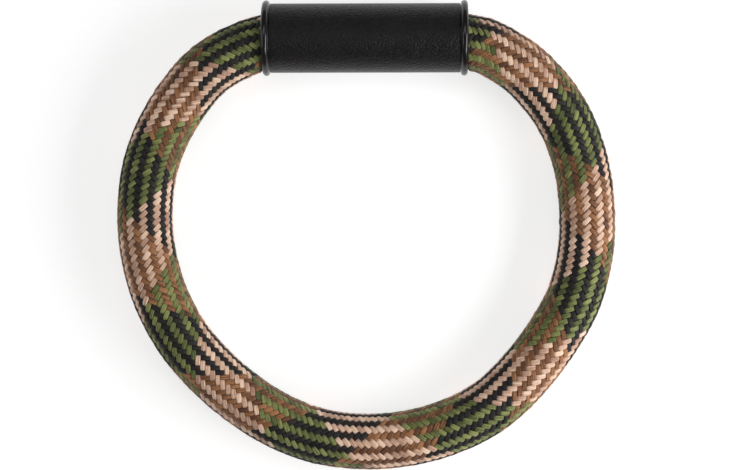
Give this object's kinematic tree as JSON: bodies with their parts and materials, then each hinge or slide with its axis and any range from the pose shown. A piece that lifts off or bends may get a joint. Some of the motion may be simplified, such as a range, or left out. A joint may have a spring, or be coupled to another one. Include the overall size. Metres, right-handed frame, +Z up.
{
  "type": "training bumper",
  "caption": "Ring-shaped training bumper: a thick braided rope bent into a ring, its ends joined inside a straight moulded grip sleeve with a raised rim at each end.",
  "frame": {"origin": "on the surface the ring lies on, under the middle of the whole object's outline", "axes": "+Z up out of the ring's plane; +X along the grip sleeve's axis, the ring's longest way; +Y from the middle of the ring towards the grip sleeve"},
  "size_m": [0.2258, 0.2122, 0.0341],
  "materials": {
    "sleeve_plastic": "fine pebble grain, glossy rims",
    "braid": "tight two-over-two braid in four colours",
    "braid_tan": "braided multifilament yarn",
    "braid_brown": "braided multifilament yarn",
    "braid_green": "braided multifilament yarn",
    "braid_black": "braided multifilament yarn",
    "core_fibre": "loose parallel filaments",
    "fused_fibre": "melted and set",
    "binding_tape": "wound tape"
  },
  "bodies": {
    "rope": {"braided_cover": "braid", "core_strand_1": "core_fibre", "core_strand_2": "core_fibre", "core_strand_3": "core_fibre", "core_strand_4": "core_fibre", "core_strand_5": "core_fibre", "core_strand_6": "core_fibre", "core_strand_7": "core_fibre", "end_seal_left": "fused_fibre", "end_seal_right": "fused_fibre", "binding_band": "binding_tape"},
    "grip": {"grip_sleeve": "sleeve_plastic"}
  },
  "joints": [
    {"name": "grip_turn", "type": "hinge", "parent": "rope", "child": "grip", "pos_m": [0.0002, 0.0889, 0.01705], "axis": [1, 0, 0], "continuous": true}
  ]
}
